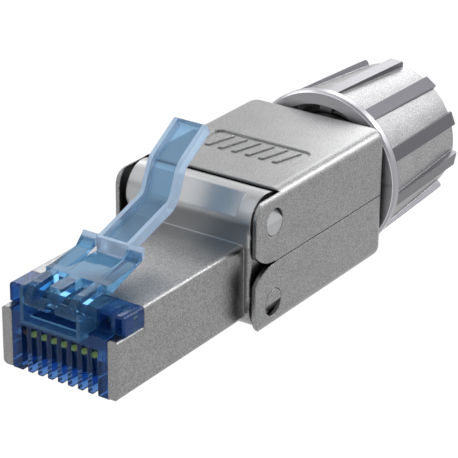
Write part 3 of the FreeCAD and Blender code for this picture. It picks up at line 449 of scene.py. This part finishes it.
# A wide white sheet lies far enough below the plug for the lower cover to swing open. To the eye, to metal
# and to clear plastic the paper is lifted to white, and it keeps a trace of the plug's shadow. Seen from
# below it is clear.
SHEET_HALF = 1.5
SHEET_DROP = 0.013
SHADOW_PAPER = (0.08, 0.08, 0.08, 1.0)
OPEN_PAPER = (0.7, 0.7, 0.7, 1.0)
WHITE = (1.0, 1.0, 1.0, 1.0)
PAPER_LIFT = 0.94

paper = Finish("paper")
seen = paper.node("ShaderNodeLightPath", output="Is Camera Ray")
seen = seen.either(paper.node("ShaderNodeLightPath", output="Is Glossy Ray"))
seen = seen.either(paper.node("ShaderNodeLightPath", output="Is Transmission Ray"))
matt = paper.node("ShaderNodeBsdfDiffuse", {}, {"Color": SHADOW_PAPER})
lift = paper.node("ShaderNodeEmission", {}, {"Color": WHITE, "Strength": PAPER_LIFT})
lifted = paper.node("ShaderNodeAddShader", {}, {0: matt, 1: lift})
unlifted = paper.node("ShaderNodeBsdfDiffuse", {}, {"Color": OPEN_PAPER})
top = paper.blend_shaders(seen, unlifted, lifted)
under = paper.node("ShaderNodeNewGeometry", output="Backfacing")
clear = paper.node("ShaderNodeBsdfTransparent")
paper.show(paper.blend_shaders(under, top, clear))

sheet = bmesh.new()
bmesh.ops.create_grid(sheet, x_segments=1, y_segments=1, size=SHEET_HALF)
bmesh.ops.translate(sheet, vec=(0.0, 0.0, -SHEET_DROP), verts=sheet.verts)
made_from(sheet, "white_sheet", paper.made)


# The room is a pale tent, grey in front and overhead. It is brighter low down all round and behind the
# plug on its left, and brightest behind it on its right, so that the metal shows broad soft bands.
GLOW_WAY = Vector((0.412, 0.757, 0.511)).normalized()
GLOW_FROM = 0.9
GLOW_TO = 0.985
GLOW_LIGHT = (2.4, 2.4, 2.4, 1.0)
LEFT_WAY = Vector((-0.511, 0.757, 0.412)).normalized()
LEFT_FROM = 0.7
LEFT_TO = 0.98
LEFT_LIGHT = (1.35, 1.35, 1.35, 1.0)
LOW_TOP = 0.35
LOW_LIGHT = (1.15, 1.15, 1.15, 1.0)
TENT_GREY = (0.7, 0.705, 0.72, 1.0)

room = Finish("pale_tent", bpy.data.worlds)
way = room.node("ShaderNodeTexCoord", output="Generated")
glow = room.node("ShaderNodeVectorMath", {"operation": "DOT_PRODUCT"}, {0: way, 1: GLOW_WAY}, "Value")
left = room.node("ShaderNodeVectorMath", {"operation": "DOT_PRODUCT"}, {0: way, 1: LEFT_WAY}, "Value")
low_down = 1 - room.smooth_step(room.part(way, "Z"), 0.0, LOW_TOP)
tent = room.blend(room.smooth_step(left, LEFT_FROM, LEFT_TO), TENT_GREY, LEFT_LIGHT)
tent = room.blend(low_down, tent, LOW_LIGHT)
tent = room.blend(room.smooth_step(glow, GLOW_FROM, GLOW_TO), tent, GLOW_LIGHT)
walls = room.node("ShaderNodeBackground", {}, {"Color": tent})
bpy.context.scene.world = room.show(walls, "ShaderNodeOutputWorld")


# The view is the photograph's: from the front right and above, with a long lens and a slight roll. The
# camera looks at the hinge block from 184 mm away.
AZIMUTH = math.radians(34.048)
ELEVATION = math.radians(24.306)
ROLL = math.radians(0.611)
AIM = Vector((2.719, -5.8, 9.802)) * MM
AIM_DISTANCE = 183.873 * MM
LENS = 169.15
SENSOR = 36.0
NEAREST_SEEN = 0.01
FARTHEST_SEEN = 20.0

level_away = Vector((math.sin(AZIMUTH), -math.cos(AZIMUTH), 0.0))
level_right = Vector((math.cos(AZIMUTH), math.sin(AZIMUTH), 0.0))
towards_camera = level_away * math.cos(ELEVATION) + Vector((0.0, 0.0, math.sin(ELEVATION)))
level_up = towards_camera.cross(level_right)
right = level_right * math.cos(ROLL) + level_up * math.sin(ROLL)
up = level_up * math.cos(ROLL) - level_right * math.sin(ROLL)
camera = stand("camera", bpy.data.cameras.new("camera"))
camera.matrix_world = (Matrix.Translation(AIM + towards_camera * AIM_DISTANCE)
                       @ Matrix((right, up, towards_camera)).transposed().to_4x4())
camera.data.lens = LENS
camera.data.sensor_width = SENSOR
camera.data.clip_start = NEAREST_SEEN
camera.data.clip_end = FARTHEST_SEEN
bpy.context.scene.camera = camera
bpy.context.scene.view_settings.view_transform = "Standard"


# Four soft boxes light it. A broad one stands high at the front left, and one behind on the right draws
# the long bright edges. Two small ones stand close by, behind the nut and to the left of the covers, and
# put a sheen on the tops.
SOFT_BOXES = {
    "back_box": {"place": (0.12, 0.2, 0.16), "size": (0.1, 0.06), "power": 0.12},
    "near_box": {"place": (-0.02, 0.084, 0.048), "size": (0.04, 0.04), "power": 0.014},
    "nose_box": {"place": (-0.03, 0.008, 0.034), "size": (0.02, 0.02), "power": 0.0025},
    "left_box": {"place": (-0.31, -0.24, 0.45), "size": (0.5, 0.5), "power": 0.6},
}

for name, box in SOFT_BOXES.items():
    light = bpy.data.lights.new(name, "AREA")
    light.shape = "RECTANGLE"
    light.size, light.size_y = box["size"]
    light.energy = box["power"]
    lamp = stand(name, light)
    lamp.location = box["place"]
    lamp.rotation_mode = "QUATERNION"
    lamp.rotation_quaternion = (Vector(box["place"]) - AIM).to_track_quat("Z", "Y")
    lamp.visible_camera = False
